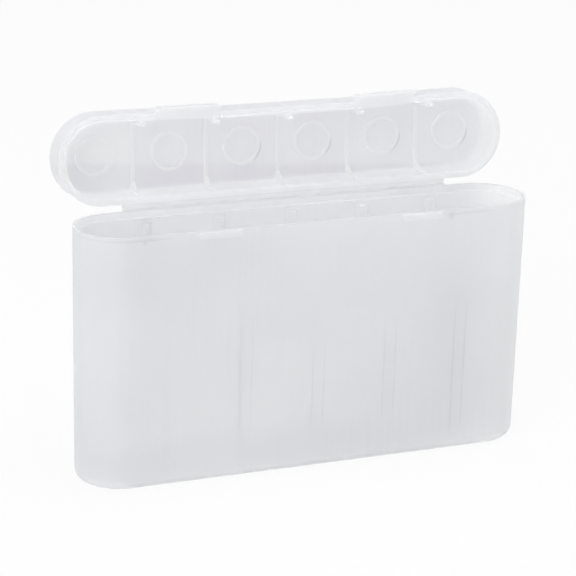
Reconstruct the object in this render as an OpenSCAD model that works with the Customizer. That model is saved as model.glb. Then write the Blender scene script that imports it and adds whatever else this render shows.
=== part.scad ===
// Storage box for round battery cells, moulded in one piece with a film hinge.
// Millimetres. +Z is up, +X runs along the box and -Y is its front.
// The origin is the middle of the underside of the tub.

/* [Tub] */
// Length of the tub over its round ends
body_l = 126; // [118:0.5:140]
// Thickness of the tub, front to back
body_w = 23.7; // [22:0.1:28]
// Height of the tub from the underside to the rim
body_h = 68.4; // [55:0.1:90]
// Wall thickness of tub and lid
wall = 1.8; // [1.5:0.1:2.2]
// Floor thickness
floor_t = 1.5; // [1:0.1:3]
// How much each side of the tub draws in from rim to underside
body_draft = 0.3; // [0:0.05:0.6]
// Radius round the underside
foot_r = 3; // [2.3:0.1:5]

/* [Cells] */
// Number of cells in the row
cells = 6; // [5:1:6]
// Thickness of a divider
divider_t = 1.2; // [0.8:0.1:1.6]
// Height of the dividers above the underside
divider_h = 47; // [20:1:50]
// Width of a divider's root where it meets a long wall
root_w = 3.2; // [2:0.1:4]
// How far a root stands out from the wall
root_d = 1.6; // [0.8:0.1:2.4]
// Top of the roots on the front wall, above the underside
front_root_h = 51; // [20:1:52]
// Distance from the rim down to the roots on the back wall
back_root_drop = 3; // [3:0.1:8]

/* [Mouth] */
// Thickness of the thin lip round the mouth
lip_t = 0.9; // [0.7:0.05:1]
// Height of the lip above the ledge inside it
lip_h = 1.8; // [1.6:0.1:3]
// Height of the lid's tongue
tongue_h = 1.3; // [0.8:0.1:1.4]
// Clearance between tongue and lip
tongue_gap = 0.2; // [0.15:0.05:0.3]
// Gap between the two rims when the lid is shut
rim_gap = 0.2; // [0.15:0.05:0.4]

/* [Lid] */
// Depth of the lid from rim to outer face
lid_d = 9.1; // [8:0.1:14]
// Thickness of the lid's plate
plate_t = 1.4; // [1:0.1:2]
// Radius round the outer edge of the plate
lid_edge_r = 1.1; // [0.5:0.1:2]
// Radius in the corner between plate and wall
lid_corner_r = 1.2; // [0.5:0.1:1.6]
// Angle of the open lid from shut
open_angle = 94.3; // [0:0.1:180]
// Outer radius of a seat ring
ring_r = 5.3; // [4:0.1:7]
// Width of a seat ring's band
ring_w = 0.9; // [0.6:0.1:1.5]
// Height of a seat ring
ring_h = 0.5; // [0.3:0.1:1]
// Width of a lid rib
rib_w = 1; // [0.8:0.1:1.6]
// Height of a lid rib above the plate
rib_h = 0.5; // [0.3:0.1:1]
// Leg of the gusset between a rib and the back wall
gusset = 2.2; // [1:0.1:3]
// Width of a finger
finger_w = 1.3; // [1:0.1:2]
// How far a finger stands out from the inside of the front wall
finger_d = 1.3; // [1:0.1:1.6]
// How far a finger reaches past the rim
finger_h = 2.4; // [1.5:0.1:4]
// Clearance between a finger and the inside of the tub
finger_gap = 0.3; // [0.2:0.05:0.5]

/* [Catches] */
// Distance of each thumb tab from the middle of the box
tab_x = 28; // [24:0.5:32]
// Length of a thumb tab
tab_l = 18.5; // [14:0.5:22]
// How far a thumb tab stands out from the lid
tab_d = 1.45; // [1.2:0.05:2]
// Thickness of a thumb tab along the lid's depth
tab_t = 1.6; // [1:0.1:3]
// Slant at each end of a thumb tab
tab_slant = 1.4; // [0.5:0.1:2]
// How far the hook of a thumb tab reaches past the rim
hook_h = 2.4; // [2.3:0.1:4]
// Length of a catch bar
bar_l = 11.4; // [8:0.1:13]
// How far a catch bar stands out from the tub
bar_d = 0.5; // [0.3:0.05:0.6]
// Height of a catch bar
bar_h = 1.7; // [1:0.1:1.8]
// Distance from the rim down to a catch bar
bar_drop = 0.15; // [0.1:0.05:0.3]
// Clearance between a hook and its catch bar
hook_gap = 0.15; // [0.1:0.05:0.2]

/* [Hinge] */
// Length of the hinge along the box
hinge_l = 92.2; // [70:0.1:100]
// Distance of the hinge axis behind the tub
axis_back = 1.08; // [0.9:0.02:1.4]
// Height of the hinge axis above the tub's rim
axis_up = 0.28; // [0.2:0.02:0.4]
// How far each flange stands out from its wall
flange_d = 0.74; // [0.5:0.02:0.8]
// Thickness of each flange
flange_t = 1.1; // [0.8:0.1:2]
// Thickness of the film
film_t = 0.3; // [0.25:0.05:0.35]

/* [Hidden] */
$fn = 96;
// Sunk into a neighbour of the same moulding, so that the two join
bite = 0.4;
straight_l = body_l - body_w;
rim_r = body_w / 2;
foot_side_r = rim_r - body_draft;
inner_foot_r = max(foot_r - wall, 0.5);
cell_pitch = (body_l - 2 * wall) / cells;
axis_y = rim_r + axis_back;
axis_z = body_h + axis_up;
tongue_t = wall - lip_t - tongue_gap;
// How far the film lies inside the top of the tub's flange
film_seat = 0.02;
lid_draft = body_draft * lid_d / body_h;
// Inner face of the tub's wall at height z, measured from the middle plane
function inner_r(z) = foot_side_r + body_draft * z / body_h - wall;
function divider_x(i) = (i - cells / 2) * cell_pitch;
function cell_x(i) = (i - (cells - 1) / 2) * cell_pitch;
// Half of a thumb tab's length at a distance in front of the lid's wall
function tab_half(distance) = tab_l / 2 - tab_slant * distance / tab_d;

// A body with round ends from half of its cross-section, drawn as [distance from the middle, height]
module stadium(length) {
    for (side = [0, 180])
        rotate([0, 0, side])
            translate([length / 2, 0, 0])
                rotate([0, 0, -90])
                    rotate_extrude(angle = 180)
                        children();
    translate([-length / 2, 0, 0])
        rotate([90, 0, 90])
            linear_extrude(length) {
                children();
                mirror([1, 0]) children();
            }
}

// Half cross-section that widens from low_r to high_r and has a round lower edge
module rounded_half(low_r, high_r, height, edge_r) {
    polygon([
        [0, 0],
        [low_r - edge_r, 0],
        [low_r - edge_r, edge_r],
        [low_r, edge_r],
        [high_r, height],
        [0, height]
    ]);
    intersection() {
        translate([low_r - edge_r, edge_r]) circle(edge_r);
        translate([low_r - edge_r, 0]) square([edge_r, edge_r]);
    }
}

module box_body() {
    color([0.88, 0.89, 0.9]) {
        difference() {
            stadium(straight_l) rounded_half(foot_side_r, rim_r, body_h, foot_r);
            tub_hollow();
            tub_ledge();
        }
        for (i = [1 : cells - 1]) divider(divider_x(i));
        for (side = [-1, 1]) catch_bar(side * tab_x);
        tub_flange();
    }
}

// Inside of the tub, open at the rim
module tub_hollow() {
    over = 1;
    translate([0, 0, floor_t])
        stadium(straight_l)
            rounded_half(inner_r(floor_t), inner_r(body_h + over), body_h + over - floor_t, inner_foot_r);
}

// Cut above the ledge, which leaves the thin lip
module tub_ledge() {
    over = 1;
    translate([0, 0, body_h - lip_h])
        stadium(straight_l) square([rim_r - lip_t, lip_h + over]);
}

// One divider across the tub with its roots on both long walls
module divider(x) {
    translate([x, 0, 0]) {
        web_w = 2 * inner_r(divider_h) - root_d;
        translate([-divider_t / 2, -web_w / 2, floor_t - bite])
            cube([divider_t, web_w, divider_h - floor_t + bite]);
        root(-1, front_root_h);
        root(1, body_h - back_root_drop);
    }
}

// Upright wedge on the front wall (side -1) or the back wall (side 1), up to height top
module root(side, top) {
    wall_y = inner_r(0) + bite;
    tip_y = inner_r(top) - root_d;
    translate([0, 0, floor_t - bite])
        linear_extrude(top - floor_t + bite)
            polygon([
                [-root_w / 2, side * wall_y],
                [root_w / 2, side * wall_y],
                [root_w / 2, side * inner_r(0)],
                [divider_t / 2, side * tip_y],
                [-divider_t / 2, side * tip_y],
                [-root_w / 2, side * inner_r(0)]
            ]);
}

// Bar under the rim that a hook of the lid passes
module catch_bar(x) {
    top = body_h - bar_drop;
    translate([x - bar_l / 2, -rim_r - bar_d, top - bar_h])
        cube([bar_l, bar_d + lip_t / 2, bar_h]);
}

// Half of a flange in the Y-Z plane: it stands out by flange_d and its far side slopes back to the wall
module flange_half() {
    polygon([
        [-lip_t / 2, 0],
        [flange_d, 0],
        [flange_d, flange_t - flange_d / 2],
        [0, flange_t + flange_d / 2],
        [-lip_t / 2, flange_t + flange_d / 2]
    ]);
}

module tub_flange() {
    translate([-hinge_l / 2, rim_r, body_h])
        rotate([90, 0, 90])
            linear_extrude(hinge_l)
                mirror([0, 1]) flange_half();
}

// The lid is drawn shut, rim at z = 0 and plate above it, and is then swung open about the hinge axis
module lid() {
    color([0.9, 0.91, 0.92])
        swung_open()
            translate([0, 0, body_h + rim_gap])
                lid_shut();
}

module swung_open() {
    translate([0, axis_y, axis_z])
        rotate([-open_angle, 0, 0])
            translate([0, -axis_y, -axis_z])
                children();
}

module lid_shut() {
    difference() {
        lid_shell();
        lid_hollow();
    }
    lid_tongue();
    for (i = [0 : cells - 1]) seat_ring(cell_x(i));
    for (i = [1 : cells - 1]) lid_rib(divider_x(i));
    for (side = [-1, 1]) thumb_tab(side * tab_x);
    lid_flange();
}

module lid_shell() {
    translate([0, 0, lid_d])
        mirror([0, 0, 1])
            stadium(straight_l) rounded_half(rim_r - lid_draft, rim_r, lid_d, lid_edge_r);
}

module lid_hollow() {
    over = 1;
    depth = lid_d - plate_t;
    translate([0, 0, depth])
        mirror([0, 0, 1])
            stadium(straight_l) rounded_half(rim_r - wall, rim_r - wall, depth + over, lid_corner_r);
}

// Tongue that enters the mouth of the tub, left out behind each thumb tab
module lid_tongue() {
    over = 1;
    difference() {
        translate([0, 0, -tongue_h])
            stadium(straight_l)
                translate([rim_r - wall, 0]) square([tongue_t, tongue_h + bite]);
        for (side = [-1, 1])
            translate([side * tab_x - tab_l / 2, -rim_r, -tongue_h - over])
                cube([tab_l, 2 * wall, tongue_h + over]);
    }
}

module seat_ring(x) {
    plate_z = lid_d - plate_t;
    translate([x, 0, plate_z - ring_h])
        difference() {
            cylinder(h = ring_h + bite, r = ring_r);
            translate([0, 0, -bite]) cylinder(h = ring_h + bite, r = ring_r - ring_w);
        }
}

// Rib across the plate with a gusset on the back wall and a finger on the front wall
module lid_rib(x) {
    plate_z = lid_d - plate_t;
    half = rim_r - wall;
    translate([x - rib_w / 2, -half - bite, plate_z - rib_h])
        cube([rib_w, 2 * half + 2 * bite, rib_h + bite]);
    translate([x - rib_w / 2, half, 0])
        rotate([90, 0, 90])
            linear_extrude(rib_w)
                polygon([
                    [bite, bite],
                    [0, bite],
                    [-rib_h, bite + rib_h],
                    [-rib_h, plate_z - rib_h - gusset],
                    [-rib_h - gusset, plate_z - rib_h],
                    [-rib_h - gusset, plate_z + bite],
                    [bite, plate_z + bite]
                ]);
    finger(x, half, plate_z);
}

module finger(x, half, plate_z) {
    translate([x - finger_w / 2, -half, 0])
        rotate([90, 0, 90])
            linear_extrude(finger_w)
                polygon([
                    [finger_gap, -finger_h],
                    [finger_d - finger_gap, -finger_h],
                    [finger_d, -finger_h + finger_gap],
                    [finger_d, plate_z / 2],
                    [rib_h, plate_z],
                    [-bite, plate_z],
                    [-bite, -tongue_h],
                    [finger_gap, -tongue_h]
                ]);
}

// Ledge for the thumb on the front of the lid, with the hook that passes in front of the catch bar
module thumb_tab(x) {
    hook_in = bar_d + hook_gap;
    translate([x, -rim_r, 0]) {
        linear_extrude(tab_t) tab_plan(-lip_t);
        translate([0, 0, -hook_h])
            linear_extrude(hook_h + bite) tab_plan(hook_in);
    }
}

// Plan of a thumb tab, from inner (distance in front of the lid's wall) out to tab_d
module tab_plan(inner) {
    inner_half = tab_half(inner);
    outer_half = tab_half(tab_d);
    polygon([
        [-inner_half, -inner],
        [-outer_half, -tab_d],
        [outer_half, -tab_d],
        [inner_half, -inner]
    ]);
}

module lid_flange() {
    translate([-hinge_l / 2, rim_r, 0])
        rotate([90, 0, 90])
            linear_extrude(hinge_l)
                flange_half();
}

// Film between the ends of the two flanges, bent round the hinge axis as far as the lid is open
module hinge_film() {
    color([0.93, 0.94, 0.95])
        translate([-hinge_l / 2, axis_y, axis_z])
            rotate([90, 0, 90])
                linear_extrude(hinge_l)
                    film_section();
}

// Section of the film with the hinge axis at its origin
module film_section() {
    inner = axis_up + film_seat;
    outer = inner + film_t;
    reach = axis_back - flange_d;
    translate([-reach, -outer]) square([reach, film_t]);
    rotate(-open_angle)
        translate([-reach, inner])
            square([reach, film_t]);
    intersection() {
        difference() {
            circle(outer);
            circle(inner);
        }
        translate([0, -2 * outer]) square([2 * outer, 4 * outer]);
        rotate(-open_angle)
            translate([0, -2 * outer])
                square([2 * outer, 4 * outer]);
    }
}

box_body();
lid();
hinge_film();
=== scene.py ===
# Storage box for round battery cells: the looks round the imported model, in metres and in the model's own frame.
import math
import bmesh
import bpy
from mathutils import Matrix, Vector


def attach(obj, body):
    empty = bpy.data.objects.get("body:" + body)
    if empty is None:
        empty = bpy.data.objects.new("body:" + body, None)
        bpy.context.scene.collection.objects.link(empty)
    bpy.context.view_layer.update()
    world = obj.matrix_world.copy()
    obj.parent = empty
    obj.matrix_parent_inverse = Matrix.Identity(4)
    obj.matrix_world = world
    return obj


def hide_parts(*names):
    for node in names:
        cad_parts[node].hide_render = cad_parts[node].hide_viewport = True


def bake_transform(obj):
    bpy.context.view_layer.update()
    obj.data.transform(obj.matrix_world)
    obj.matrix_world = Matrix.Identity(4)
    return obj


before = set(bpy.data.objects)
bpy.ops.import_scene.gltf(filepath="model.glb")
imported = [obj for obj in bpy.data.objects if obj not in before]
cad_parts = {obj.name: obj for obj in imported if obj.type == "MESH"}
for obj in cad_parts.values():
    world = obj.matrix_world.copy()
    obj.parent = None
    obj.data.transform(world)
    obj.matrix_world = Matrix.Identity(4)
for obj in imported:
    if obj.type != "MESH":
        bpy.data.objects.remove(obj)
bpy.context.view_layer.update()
mm = 0.001


class Wire:
    # one output of a node, which can stand in sums, differences and products
    def __init__(self, look, socket):
        self.look, self.socket = look, socket

    def out(self, name):
        return Wire(self.look, self.socket.node.outputs[name])

    def __add__(self, other):
        return self.look.maths("ADD", self, other)

    def __sub__(self, other):
        return self.look.maths("SUBTRACT", self, other)

    def __rsub__(self, other):
        return self.look.maths("SUBTRACT", other, self)

    def __mul__(self, other):
        return self.look.maths("MULTIPLY", self, other)

    def __pow__(self, other):
        return self.look.maths("POWER", self, other)

    __radd__ = __add__
    __rmul__ = __mul__


class Look:
    # a node tree of a material or of the world, whose nodes are all made by one method
    def __init__(self, owner):
        self.owner = owner
        owner.use_nodes = True
        self.tree = owner.node_tree
        self.tree.nodes.clear()

    def node(self, kind, settings=None, inputs=None, output=0):
        made = self.tree.nodes.new(kind)
        for name, value in (settings or {}).items():
            setattr(made, name, value)
        for name, value in (inputs or {}).items():
            if isinstance(value, Wire):
                self.tree.links.new(value.socket, made.inputs[name])
            else:
                made.inputs[name].default_value = value
        return Wire(self, made.outputs[output]) if made.outputs else None

    def maths(self, operation, a, b=0.0):
        return self.node("ShaderNodeMath", {"operation": operation}, {0: a, 1: b})

    def mixColour(self, factor, a, b):
        return self.node("ShaderNodeMix", {"data_type": "RGBA", "clamp_factor": True}, {0: factor, 6: a, 7: b}, 2)

    def sum(self, wires):
        total = wires[0]
        for wire in wires[1:]:
            total = total + wire
        return total

    def noise(self, where, scale, detail=2.0):
        return self.node("ShaderNodeTexNoise", None, {"Vector": where, "Scale": scale, "Detail": detail})

    def fade(self, value, start, end):
        # 0 up to start and 1 from end on, smooth in between
        settings = {"interpolation_type": "SMOOTHSTEP"}
        return self.node("ShaderNodeMapRange", settings, {"Value": value, "From Min": start, "From Max": end})

    def line(self, value, centre, halfWidth):
        # 1 where value is at centre, smooth down to 0 at halfWidth from it
        return self.fade(self.maths("ABSOLUTE", value - centre), halfWidth, 0.0)

    def band(self, value, start, end, soft):
        # 1 from start to end, with edges as wide as soft
        return self.fade(value, start - soft / 2, start + soft / 2) * self.fade(value, end + soft / 2, end - soft / 2)

    def places(self):
        # object coordinates in millimetres
        where = self.node("ShaderNodeTexCoord").out("Object")
        return self.node("ShaderNodeVectorMath", {"operation": "SCALE"}, {0: where, "Scale": 1 / mm})

    def axes(self, where):
        split = self.node("ShaderNodeSeparateXYZ", None, {0: where})
        return [split.out(name) for name in "XYZ"]

    def stretched(self, where, factors):
        return self.node("ShaderNodeVectorMath", {"operation": "MULTIPLY"}, {0: where, 1: factors})

    def finish(self, shader):
        self.node("ShaderNodeOutputMaterial", None, {"Surface": shader})
        return self.owner


# Frosted polypropylene

frosted = {
    "clearTint": (0.985, 0.988, 0.993, 1.0),
    "shadeTint": (0.62, 0.63, 0.67, 1.0),
    "roughness": 0.46,
    "index": 1.06,
    "clear": 0.5,  # share of the skin that lets light through as rough glass does
    "milky": 0.4,  # share of the light that is scattered on its way through a wall
    "milkyThick": 0.55,  # the same where the moulding is thick
    "shade": 0.065,  # how far thin walls lean to shadeTint
    "cloudSize": 22.0,  # millimetres across a cloudy patch
    "cloud": 0.32,
    "streakPitch": 1.1,  # millimetres between the fine draw lines
    "streak": 0.26,
    "grainPitch": 0.35,
    "grainHeight": 0.012 * mm,
}


def frostedSkin(look, where, shade, thick, values):
    # shade and thick are 0 to 1 over the surface: how dark the wall looks, and how thick the moulding is
    clouds = look.noise(where, 1 / values["cloudSize"], 3.0)
    patches = look.noise(where, 3 / values["cloudSize"], 2.0)
    drawn = look.noise(look.stretched(where, (1.0, 1.0, 0.02)), 1 / values["streakPitch"], 1.0)
    streaks = (drawn - 0.5) * look.fade(look.noise(where, 0.06, 1.0), 0.42, 0.62)
    grain = look.noise(where, 1 / values["grainPitch"], 2.0)
    darkness = values["shade"] + shade + (clouds - 0.5) * values["cloud"] + (patches - 0.5) * values["cloud"] * 0.4
    darkness = darkness + streaks * values["streak"]
    colour = look.mixColour(darkness * (1 - thick), values["clearTint"], values["shadeTint"])
    height = grain + drawn * 0.6
    bump = look.node("ShaderNodeBump", None, {"Height": height, "Distance": values["grainHeight"], "Strength": 0.6})
    skin = look.node("ShaderNodeBsdfPrincipled", None, {
        "Base Color": colour,
        "Roughness": values["roughness"] + (clouds - 0.5) * 0.12,
        "IOR": values["index"],
        "Transmission Weight": values["clear"],
        "Normal": bump,
    })
    milk = look.node("ShaderNodeBsdfTranslucent", None, {"Color": values["clearTint"]})
    share = values["milky"] + thick * (values["milkyThick"] - values["milky"])
    return look.node("ShaderNodeMixShader", None, {0: share, 1: skin, 2: milk})


tub = {
    "pitch": 20.4,  # of the dividers, all lengths here in millimetres
    "rootHalf": 1.6,
    "wallFrom": 8.4,  # the long walls begin this far from the middle plane
    "rim": 68.4,
    "outside": 11.87,
    "rootShade": 0.42,  # depth of the painted shade lines beside a root
    "rootShadeWidth": 0.38,
    "rootShades": ((-2, 0.2, 6, 26), (-1, 0.6, 13, 53), (0, 0.9, 12, 41), (1, 0.85, 12, 47), (2, 1.0, 5, 48)),
    "shadeAboveFloor": 0.06,  # depth of the painted shade band above the floor
    # depth of the painted shade line just above the floor
    "floorShadeLine": 0.2,
    "middle": 0.11,  # painted shade: how much darker the upper part of the flat walls is
    # painted shade on the inner faces at the mouth, most at the left
    "inside": 0.28,
    "endCentre": 51.15,
    "leftShade": 0.12,
    "rightShade": 0.12,
    "rightEdgeLight": 0.14,  # painted light: how much lighter the bend at the right is
    # painted shadow of the lip's inner ledge round the left end
    "leftLipShadow": 0.22,
    # painted shade on the top of the front lip
    "lipTopShade": 0.2,
    "lipEdgeShade": 0.35,  # depth of the painted shade on the inner edge of the lip
    "rootFaceShade": 0.11,  # painted shade on the roots at the mouth, toning them down to the wall behind them
    # painted shadow of the lip's inner ledge, in soft spots under the rim near both ends of the front wall
    "darkSpots": ((41.0, 67.3, 8.5, 0.45, 0.25), (36.5, 66.7, 0.9, 0.9, 0.4), (-47.0, 67.5, 6.5, 0.4, 0.2),
              (-48.2, 66.8, 0.7, 0.6, 0.3)),
    "patches": ((-20.0, 8.5, 27.0, 6.0, 0.07), (24.0, 18.0, 30.0, 15.0, 0.075)),  # soft darker patches on the front, wide and faint
}


def rootShadePair(look, x, z, breaks, rootShade, values):
    # painted shade lines beside one root where it meets the wall, with painted shade of its sink: its number from the
    # middle, strength, lowest and highest point
    number, strength, low, high = rootShade
    away = look.maths("ABSOLUTE", x - number * values["pitch"])
    lines = look.line(away, values["rootHalf"], values["rootShadeWidth"]) * look.fade(breaks, 0.2, 0.5)
    sinkShade = look.fade(away, values["rootHalf"] + 1.2, values["rootHalf"] - 0.4) * 0.12
    return (lines + sinkShade) * look.fade(z, high, high - 16) * look.fade(z, low - 2, low + 4) * strength


def darkSpotAt(look, x, z, spot):
    # soft dark spot: place along and up, half its length and height, strength
    along, up, halfLength, halfHeight, strength = spot
    across = (x - along) * (1 / halfLength)
    over = (z - up) * (1 / halfHeight)
    return look.fade(across * across + over * over, 1.5, 0.3) * strength


def tubPlastic(values):
    look = Look(bpy.data.materials.new("frostedTub"))
    where = look.places()
    x, y, z = look.axes(where)
    onWall = look.fade(look.maths("ABSOLUTE", y), values["wallFrom"], values["wallFrom"] + 0.6)
    onFront = look.fade(y, -values["wallFrom"], -values["wallFrom"] - 0.6)
    breaks = look.noise(look.stretched(where, (1.0, 0.0, 0.35)), 0.5, 2.0)
    # painted shade beside the divider roots, on the long walls
    rootShadeLines = look.sum([rootShadePair(look, x, z, breaks, rootShade, values) for rootShade in values["rootShades"]])
    # painted shadow under the rim, with the faint patches, on the front wall
    darkSpots = look.sum([darkSpotAt(look, x, z, spot) for spot in values["darkSpots"] + values["patches"]]) * onFront
    # painted shade near the floor: a band above it, a thin line, and the lowest edge of the foot
    shadeAboveFloor = look.band(z + 2.5 * look.noise(where, 0.05, 1.0), 6.0, 12.5, 6.0) * values["shadeAboveFloor"]
    floorShadeLine = look.line(z, 1.6, 0.35) * values["floorShadeLine"]
    footShade = look.fade(z, 0.35, 0.1) * 0.9
    along = look.maths("ABSOLUTE", x)
    past = look.maths("MAXIMUM", along - values["endCentre"], 0.0)
    around = look.maths("SQRT", past * past + y * y)
    middle = look.fade(along, 60.0, 35.0) * look.fade(z, 15.0, 50.0) * values["middle"]
    # painted shade on the inner faces at the mouth, most at the left
    inside = look.fade(around, 10.9, 10.5) * look.fade(x, 45.0, -50.0) * look.fade(z, 44.0, 60.0)
    left = look.fade(x, -38.0, -52.0) * values["leftShade"]
    right = look.fade(x, 18.0, 46.0) * look.fade(x, 60.0, 50.0) * look.fade(z, 3.0, 18.0) * values["rightShade"]
    rightEdgeLight = look.fade(x, 57.0, 61.0) * -values["rightEdgeLight"]
    leftLipShadow = look.line(z, values["rim"] - 1.0, 0.6) * look.fade(x, -42.0, -46.0) * look.fade(y, 2.0, -4.0)
    bars = look.fade(y, -values["outside"] + 0.02, -values["outside"] - 0.05)
    flange = look.fade(y, values["outside"] - 0.02, values["outside"] + 0.05)
    thick = look.maths("MAXIMUM", bars, flange)
    lipTopShade = look.fade(z, values["rim"] - 0.3, values["rim"] - 0.1) * look.fade(y, 6.0, -6.0) * values["lipTopShade"]
    lipEdgeShade = look.fade(z, values["rim"] - 0.35, values["rim"] - 0.1) * look.fade(around, 11.4, 11.0)
    fromRoot = look.maths("PINGPONG", x, values["pitch"] / 2)
    rootFaceShade = look.fade(fromRoot, 2.1, 1.6) * look.fade(y, 7.0, 8.5) * look.fade(around, 10.9, 10.5)
    rootFaceShade = rootFaceShade * look.fade(z, 40.0, 50.0) * look.fade(along, 46.0, 44.0) * (look.fade(x, -25.0, -35.0) + 1.0)
    lines = [lipTopShade, lipEdgeShade * values["lipEdgeShade"], rootFaceShade * values["rootFaceShade"], rootShadeLines * values["rootShade"] * onWall, darkSpots, shadeAboveFloor, floorShadeLine, footShade, leftLipShadow * values["leftLipShadow"]]
    shade = look.sum(lines + [middle, inside * values["inside"], left, right, rightEdgeLight])
    return look.finish(frostedSkin(look, where, shade, thick, frosted))


lid = {
    "axis": (0.0, 12.93, 68.68),
    "open": 94.3,
    "rim": 68.6,  # height of the shut lid's rim
    "pitch": 20.4,
    "ring": (4.4, 5.3),
    "plate": 7.7,  # inside of the plate above the rim
    "outside": 11.9,
    "wallInside": 10.05,
    "cellShades": (0.04, 0.19, 0.155, 0.16, 0.15, 0.11),  # of the plate, from left to right
    "lowShadeBand": (0.24, 0.03),  # painted shade on the lower part of the plate: over the whole length, and added in the first cell
    "lowShadeFrom": 5.6,  # where the painted shade on the lower part of the plate begins at the middle of the lid
    "lowShadeSlope": 0.073,
    "shadeTint": (0.62, 0.61, 0.70, 1.0),
    # painted shade at the edges of the seat rings
    "crescentShade": 1.5,
    "hingeShadeLine": (69.6, 0.32, 0.6),  # painted shade: height of the dark line over the film as the lid stands open, width, depth
    "hingeHalf": 46.1,
    "frontShade": 0.2,
    "crescentShadesFrom": -22.0,
}


def lidPlastic(values):
    look = Look(bpy.data.materials.new("frostedLid"))
    where = look.places()
    shut = look.node("ShaderNodeVectorRotate", {"rotation_type": "X_AXIS"}, {
        "Vector": where, "Center": values["axis"], "Angle": math.radians(values["open"])})
    x, y, height = look.axes(shut)
    z = height - values["rim"]
    half = values["pitch"] / 2
    fromCell = look.maths("FLOORED_MODULO", x, values["pitch"]) - half
    fromRib = look.maths("PINGPONG", x, half)
    around = look.maths("SQRT", fromCell * fromCell + y * y)
    onPlate = look.fade(z, values["plate"] - 1.0, values["plate"] - 0.6)
    inside = look.fade(z, values["plate"] + 0.3, values["plate"] + 0.1)
    within = look.fade(look.maths("ABSOLUTE", y), values["wallInside"], values["wallInside"] - 0.8)
    inner, outer = values["ring"]
    rings = look.band(around, inner, outer, 0.1) * onPlate * inside
    onRow = look.fade(look.maths("ABSOLUTE", x), 46.0, 45.0)
    ribs = look.fade(fromRib, 0.62, 0.5) * onRow * look.fade(z, values["plate"] - 0.2, values["plate"] - 0.4) * inside
    rim = look.fade(z, 0.5, 0.1)
    tabs = look.fade(y, -values["outside"] + 0.02, -values["outside"] - 0.05)
    slanted = y - x * values["lowShadeSlope"] + 1.2 * look.noise(where, 0.05, 1.0)
    whole, added = values["lowShadeBand"]
    # painted shade on the lower part of the plate, along a slanted edge
    low = look.fade(slanted, values["lowShadeFrom"], values["lowShadeFrom"] + 1.6) * (look.fade(x, -35.0, -48.0) * added + whole)
    cells = [look.band(x, (cell - 3) * values["pitch"], (cell - 2) * values["pitch"], 8.0) for cell in range(6)]
    plain = look.sum([cell * shade for cell, shade in zip(cells, values["cellShades"])])
    # painted shade: dark crescents at the lower right of the rings' outer edges, and faint arcs at the left of their
    # inner edges
    lowerRight = look.fade(fromCell * 0.92 + y * 0.4, outer * 0.84, outer * 0.97)
    left = look.fade(fromCell * -1.0 - y * 0.1, inner * 0.85, inner) * 0.4
    edges = look.line(around, outer, 0.55) * lowerRight + look.line(around, inner, 0.4) * left
    crescentShades = edges * look.fade(x, values["crescentShadesFrom"], values["crescentShadesFrom"] + 8) * onPlate * inside
    bare = look.maths("MAXIMUM", look.maths("MAXIMUM", rings, ribs), look.maths("MAXIMUM", rim, tabs))
    thick = look.maths("MAXIMUM", bare - crescentShades, 0.0)
    front = look.fade(y, -8.5, -10.0) * (1 - onPlate) * values["frontShade"]
    level, width, depth = values["hingeShadeLine"]
    alongHinge = look.fade(look.maths("ABSOLUTE", x), values["hingeHalf"] + 0.1, values["hingeHalf"])
    hingeShadeLine = look.line(look.axes(where)[2], level, width) * alongHinge * look.fade(z, 0.5, 0.3) * depth
    thick = thick * (1 - hingeShadeLine)
    shade = (low + plain) * onPlate * within + crescentShades * values["crescentShade"] + front + hingeShadeLine
    return look.finish(frostedSkin(look, where, shade, thick, {**frosted, "shadeTint": values["shadeTint"]}))


filmPlastic = {**frosted, "milky": 0.25, "clear": 0.75, "streak": 0.15}


def thinPlastic(values):
    look = Look(bpy.data.materials.new("clearFilm"))
    where = look.places()
    creased = look.noise(look.stretched(where, (0.3, 3.0, 3.0)), 1.0, 2.0) * 0.1
    return look.finish(frostedSkin(look, where, creased, 0 * creased, values))


def dress(nodeName, material):
    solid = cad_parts[nodeName]
    solid.data.materials.clear()
    solid.data.materials.append(material)
    for face in solid.data.polygons:
        face.material_index = 0


dress("box_body", tubPlastic(tub))
dress("lid", lidPlastic(lid))
print("dressed the solids")

# Lid as it left the mould, its long front wall drawn in a little between the ends

bowed = {
    "sag": 0.72 * mm,
    "atRim": 1.2,  # the rim is drawn in this much more than the plate
    "tabShare": 0.7,  # the thumb tabs follow the wall this far
    "hookShare": 0.15,  # the hooks follow less, so that they still pass the catch bars
    "across": (-6.0 * mm, -9.0 * mm),  # y where the plate begins to give, and where it has given fully
    "left": (-48.0 * mm, -15.0 * mm),
    "right": (46.0 * mm, 26.0 * mm),
    "step": 4.25 * mm,
    "depth": 8.0 * mm,
    "sharp": math.radians(28),
}


def smoothStep(value, start, end):
    share = min(max((value - start) / (end - start), 0.0), 1.0)
    return share * share * (3 - 2 * share)


def drawIn(point, values):
    # how far a point of the shut lid moves towards the middle plane
    along = smoothStep(point.x, *values["left"]) * smoothStep(point.x, *values["right"])
    across = smoothStep(point.y, *values["across"])
    above = (point.z - lid["rim"] * mm) / values["depth"]
    more = 1 + (values["atRim"] - 1) * (1 - min(max(above, 0.0), 1.0))
    follows = 1.0
    if point.y < -lid["outside"] * mm:
        follows = values["tabShare"] if above > 0.1 else values["hookShare"]
    return values["sag"] * along * across * more * follows


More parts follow.
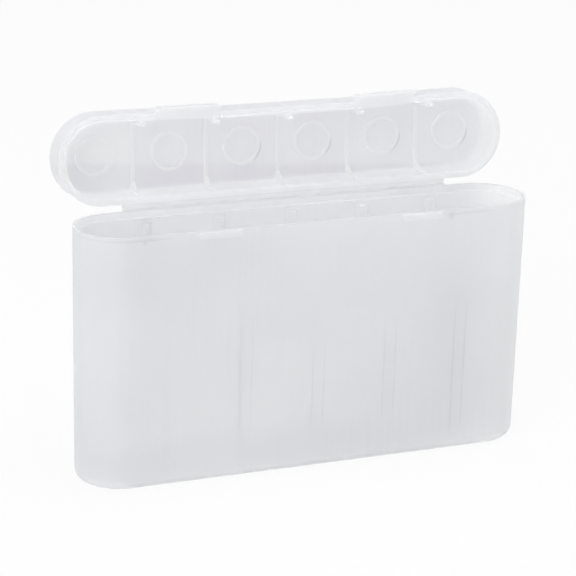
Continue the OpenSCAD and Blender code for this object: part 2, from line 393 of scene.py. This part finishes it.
def makeBowedLid(values):
    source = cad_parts["lid"]
    body = bmesh.new()
    body.from_mesh(source.data)
    bmesh.ops.remove_doubles(body, verts=body.verts, dist=0.001 * mm)
    first, last = values["left"][0], values["right"][0]
    count = round((last - first) / values["step"])
    for cut in range(count + 1):
        place = (first + (last - first) * cut / count, 0, 0)
        everything = body.verts[:] + body.edges[:] + body.faces[:]
        bmesh.ops.bisect_plane(body, geom=everything, plane_co=place, plane_no=(1, 0, 0), dist=0.02 * mm)
    axis = Vector(lid["axis"]) * mm
    shutting = Matrix.Rotation(math.radians(lid["open"]), 3, "X")
    for corner in body.verts:
        point = shutting @ (corner.co - axis) + axis
        point.y += drawIn(point, values)
        corner.co = shutting.transposed() @ (point - axis) + axis
    body.verts.index_update()
    corners = [corner.co[:] for corner in body.verts]
    faces = [[corner.index for corner in face.verts] for face in body.faces]
    body.free()
    mesh = bpy.data.meshes.new("bowedLid")
    mesh.from_pydata(corners, [], faces)
    mesh.shade_smooth()
    mesh.set_sharp_from_angle(angle=values["sharp"])
    mesh.materials.append(source.data.materials[0])
    made = bpy.data.objects.new("bowedLid", mesh)
    bpy.context.scene.collection.objects.link(made)
    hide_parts("lid")
    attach(made, "lid")


makeBowedLid(bowed)
print("made the bowed lid")

# Film of the hinge, an arc about the hinge's axis

film = {
    "axis": (12.93 * mm, 68.68 * mm),  # y and z of the hinge's axis
    "halfLength": 46.1 * mm,
    "inner": 0.3 * mm,
    "outer": 0.6 * mm,
    "stub": 0.34 * mm,  # straight part at each flange
    "from": -90.0,
    "to": -4.3,
    "steps": 24,
}


def filmSection(values, radius, count):
    # points from the tub's stub round the axis to the lid's stub, at one distance from the axis
    first, last = math.radians(values["from"]), math.radians(values["to"])
    angles = [first + (last - first) * step / count for step in range(count + 1)]
    arc = [Vector((math.cos(angle), math.sin(angle))) * radius for angle in angles]
    before = arc[0] + Vector((math.sin(first), -math.cos(first))) * values["stub"]
    after = arc[-1] + Vector((-math.sin(last), math.cos(last))) * values["stub"]
    return [before] + arc + [after]


def makeFilm(values):
    count = values["steps"]
    section = filmSection(values, values["inner"], count) + filmSection(values, values["outer"], count)[::-1]
    size = len(section)
    axisY, axisZ = values["axis"]
    points = [(side * values["halfLength"], axisY + y, axisZ + z) for side in (-1, 1) for y, z in section]
    faces = [(i, size + i, size + (i + 1) % size, (i + 1) % size) for i in range(size)]
    row = size // 2
    for step in range(row - 1):
        a, b, c, d = step, step + 1, size - 2 - step, size - 1 - step
        faces.append((a, b, c, d))
        faces.append((size + d, size + c, size + b, size + a))
    mesh = bpy.data.meshes.new("bentFilm")
    mesh.from_pydata(points, [], faces)
    mesh.validate()
    mesh.update()
    made = bpy.data.objects.new("bentFilm", mesh)
    bpy.context.scene.collection.objects.link(made)
    mesh.materials.append(thinPlastic(filmPlastic))
    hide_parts("hinge_film")
    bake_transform(made)


makeFilm(film)
print("made the film")

# Floor, lamps and camera

surroundings = {
    "floorSize": 12.0,
    "floorTint": (0.8, 0.8, 0.8, 1.0),
    "whiteShare": 0.85,  # how much of the floor's white doesn't take the object's shadow
    "white": 1.02,
    "worldLight": 0.76,
    "backdrop": 0.98,  # world's white where it is seen straight, mirrored or through the plastic
}


directRays = ("Is Camera Ray", "Is Glossy Ray", "Is Transmission Ray")


def makeFloor(values):
    half = values["floorSize"] / 2
    mesh = bpy.data.meshes.new("floor")
    mesh.from_pydata([(-half, -half, 0), (half, -half, 0), (half, half, 0), (-half, half, 0)], [], [(0, 1, 2, 3)])
    floor = bpy.data.objects.new("floor", mesh)
    bpy.context.scene.collection.objects.link(floor)
    look = Look(bpy.data.materials.new("paperFloor"))
    camera, glossy, through = (look.node("ShaderNodeLightPath", output=ray) for ray in directRays)
    seen = look.node("ShaderNodeMath", {"operation": "MAXIMUM"}, {0: camera, 1: glossy + through})
    dull = look.node("ShaderNodeBsdfDiffuse", None, {"Color": values["floorTint"]})
    white = look.node("ShaderNodeEmission", None, {"Color": (1, 1, 1, 1), "Strength": values["white"]})
    shader = look.node("ShaderNodeMixShader", None, {0: seen * values["whiteShare"], 1: dull, 2: white})
    mesh.materials.append(look.finish(shader))


def makeWorld(values):
    world = bpy.data.worlds.new("studio")
    bpy.context.scene.world = world
    look = Look(world)
    camera, glossy, through = (look.node("ShaderNodeLightPath", output=ray) for ray in directRays)
    seen = look.node("ShaderNodeMath", {"operation": "MAXIMUM"}, {0: camera, 1: glossy + through})
    strength = values["worldLight"] + seen * (values["backdrop"] - values["worldLight"])
    light = look.node("ShaderNodeBackground", None, {"Strength": strength})
    look.node("ShaderNodeOutputWorld", None, {"Surface": light})


lamps = {
    "top": {"place": (0.1, -0.1, 1.2), "size": 1.2, "watts": 5.6},
    "leftFront": {"place": (-1.0, -0.8, 0.65), "size": 0.8, "watts": 5.5},
}


def makeLamps(values):
    aim = Vector((0, 0, 0.045))
    for name, lamp in values.items():
        data = bpy.data.lights.new(name, "AREA")
        data.size = lamp["size"]
        data.energy = lamp["watts"]
        made = bpy.data.objects.new(name, data)
        bpy.context.scene.collection.objects.link(made)
        made.location = lamp["place"]
        made.rotation_euler = (aim - made.location).to_track_quat("-Z", "Y").to_euler()


photoView = {
    "yaw": 22.394,
    "pitch": 17.994,
    "roll": 1.566,
    "distance": 587.9 * mm,
    "target": (-4.50 * mm, 0.0, 47.16 * mm),
    "lens": 139.4,
    "sensor": 36.0,
}


def makeCamera(values):
    data = bpy.data.cameras.new("camera")
    data.lens = values["lens"]
    data.sensor_width = values["sensor"]
    data.clip_start = 0.01
    camera = bpy.data.objects.new("camera", data)
    bpy.context.scene.collection.objects.link(camera)
    yaw, pitch, roll = (math.radians(values[name]) for name in ("yaw", "pitch", "roll"))
    forward = Vector((math.sin(yaw) * math.cos(pitch), math.cos(yaw) * math.cos(pitch), -math.sin(pitch)))
    level = Vector((math.cos(yaw), -math.sin(yaw), 0))
    upright = level.cross(forward)
    right = level * math.cos(roll) + upright * math.sin(roll)
    up = upright * math.cos(roll) - level * math.sin(roll)
    turn = Matrix((right, up, -forward)).transposed()
    camera.matrix_world = Matrix.Translation(Vector(values["target"]) - forward * values["distance"]) @ turn.to_4x4()
    bpy.context.scene.camera = camera


makeFloor(surroundings)
makeWorld(surroundings)
makeLamps(lamps)
makeCamera(photoView)
bpy.context.scene.view_settings.view_transform = "Standard"
print("made the floor, the lamps and the camera")
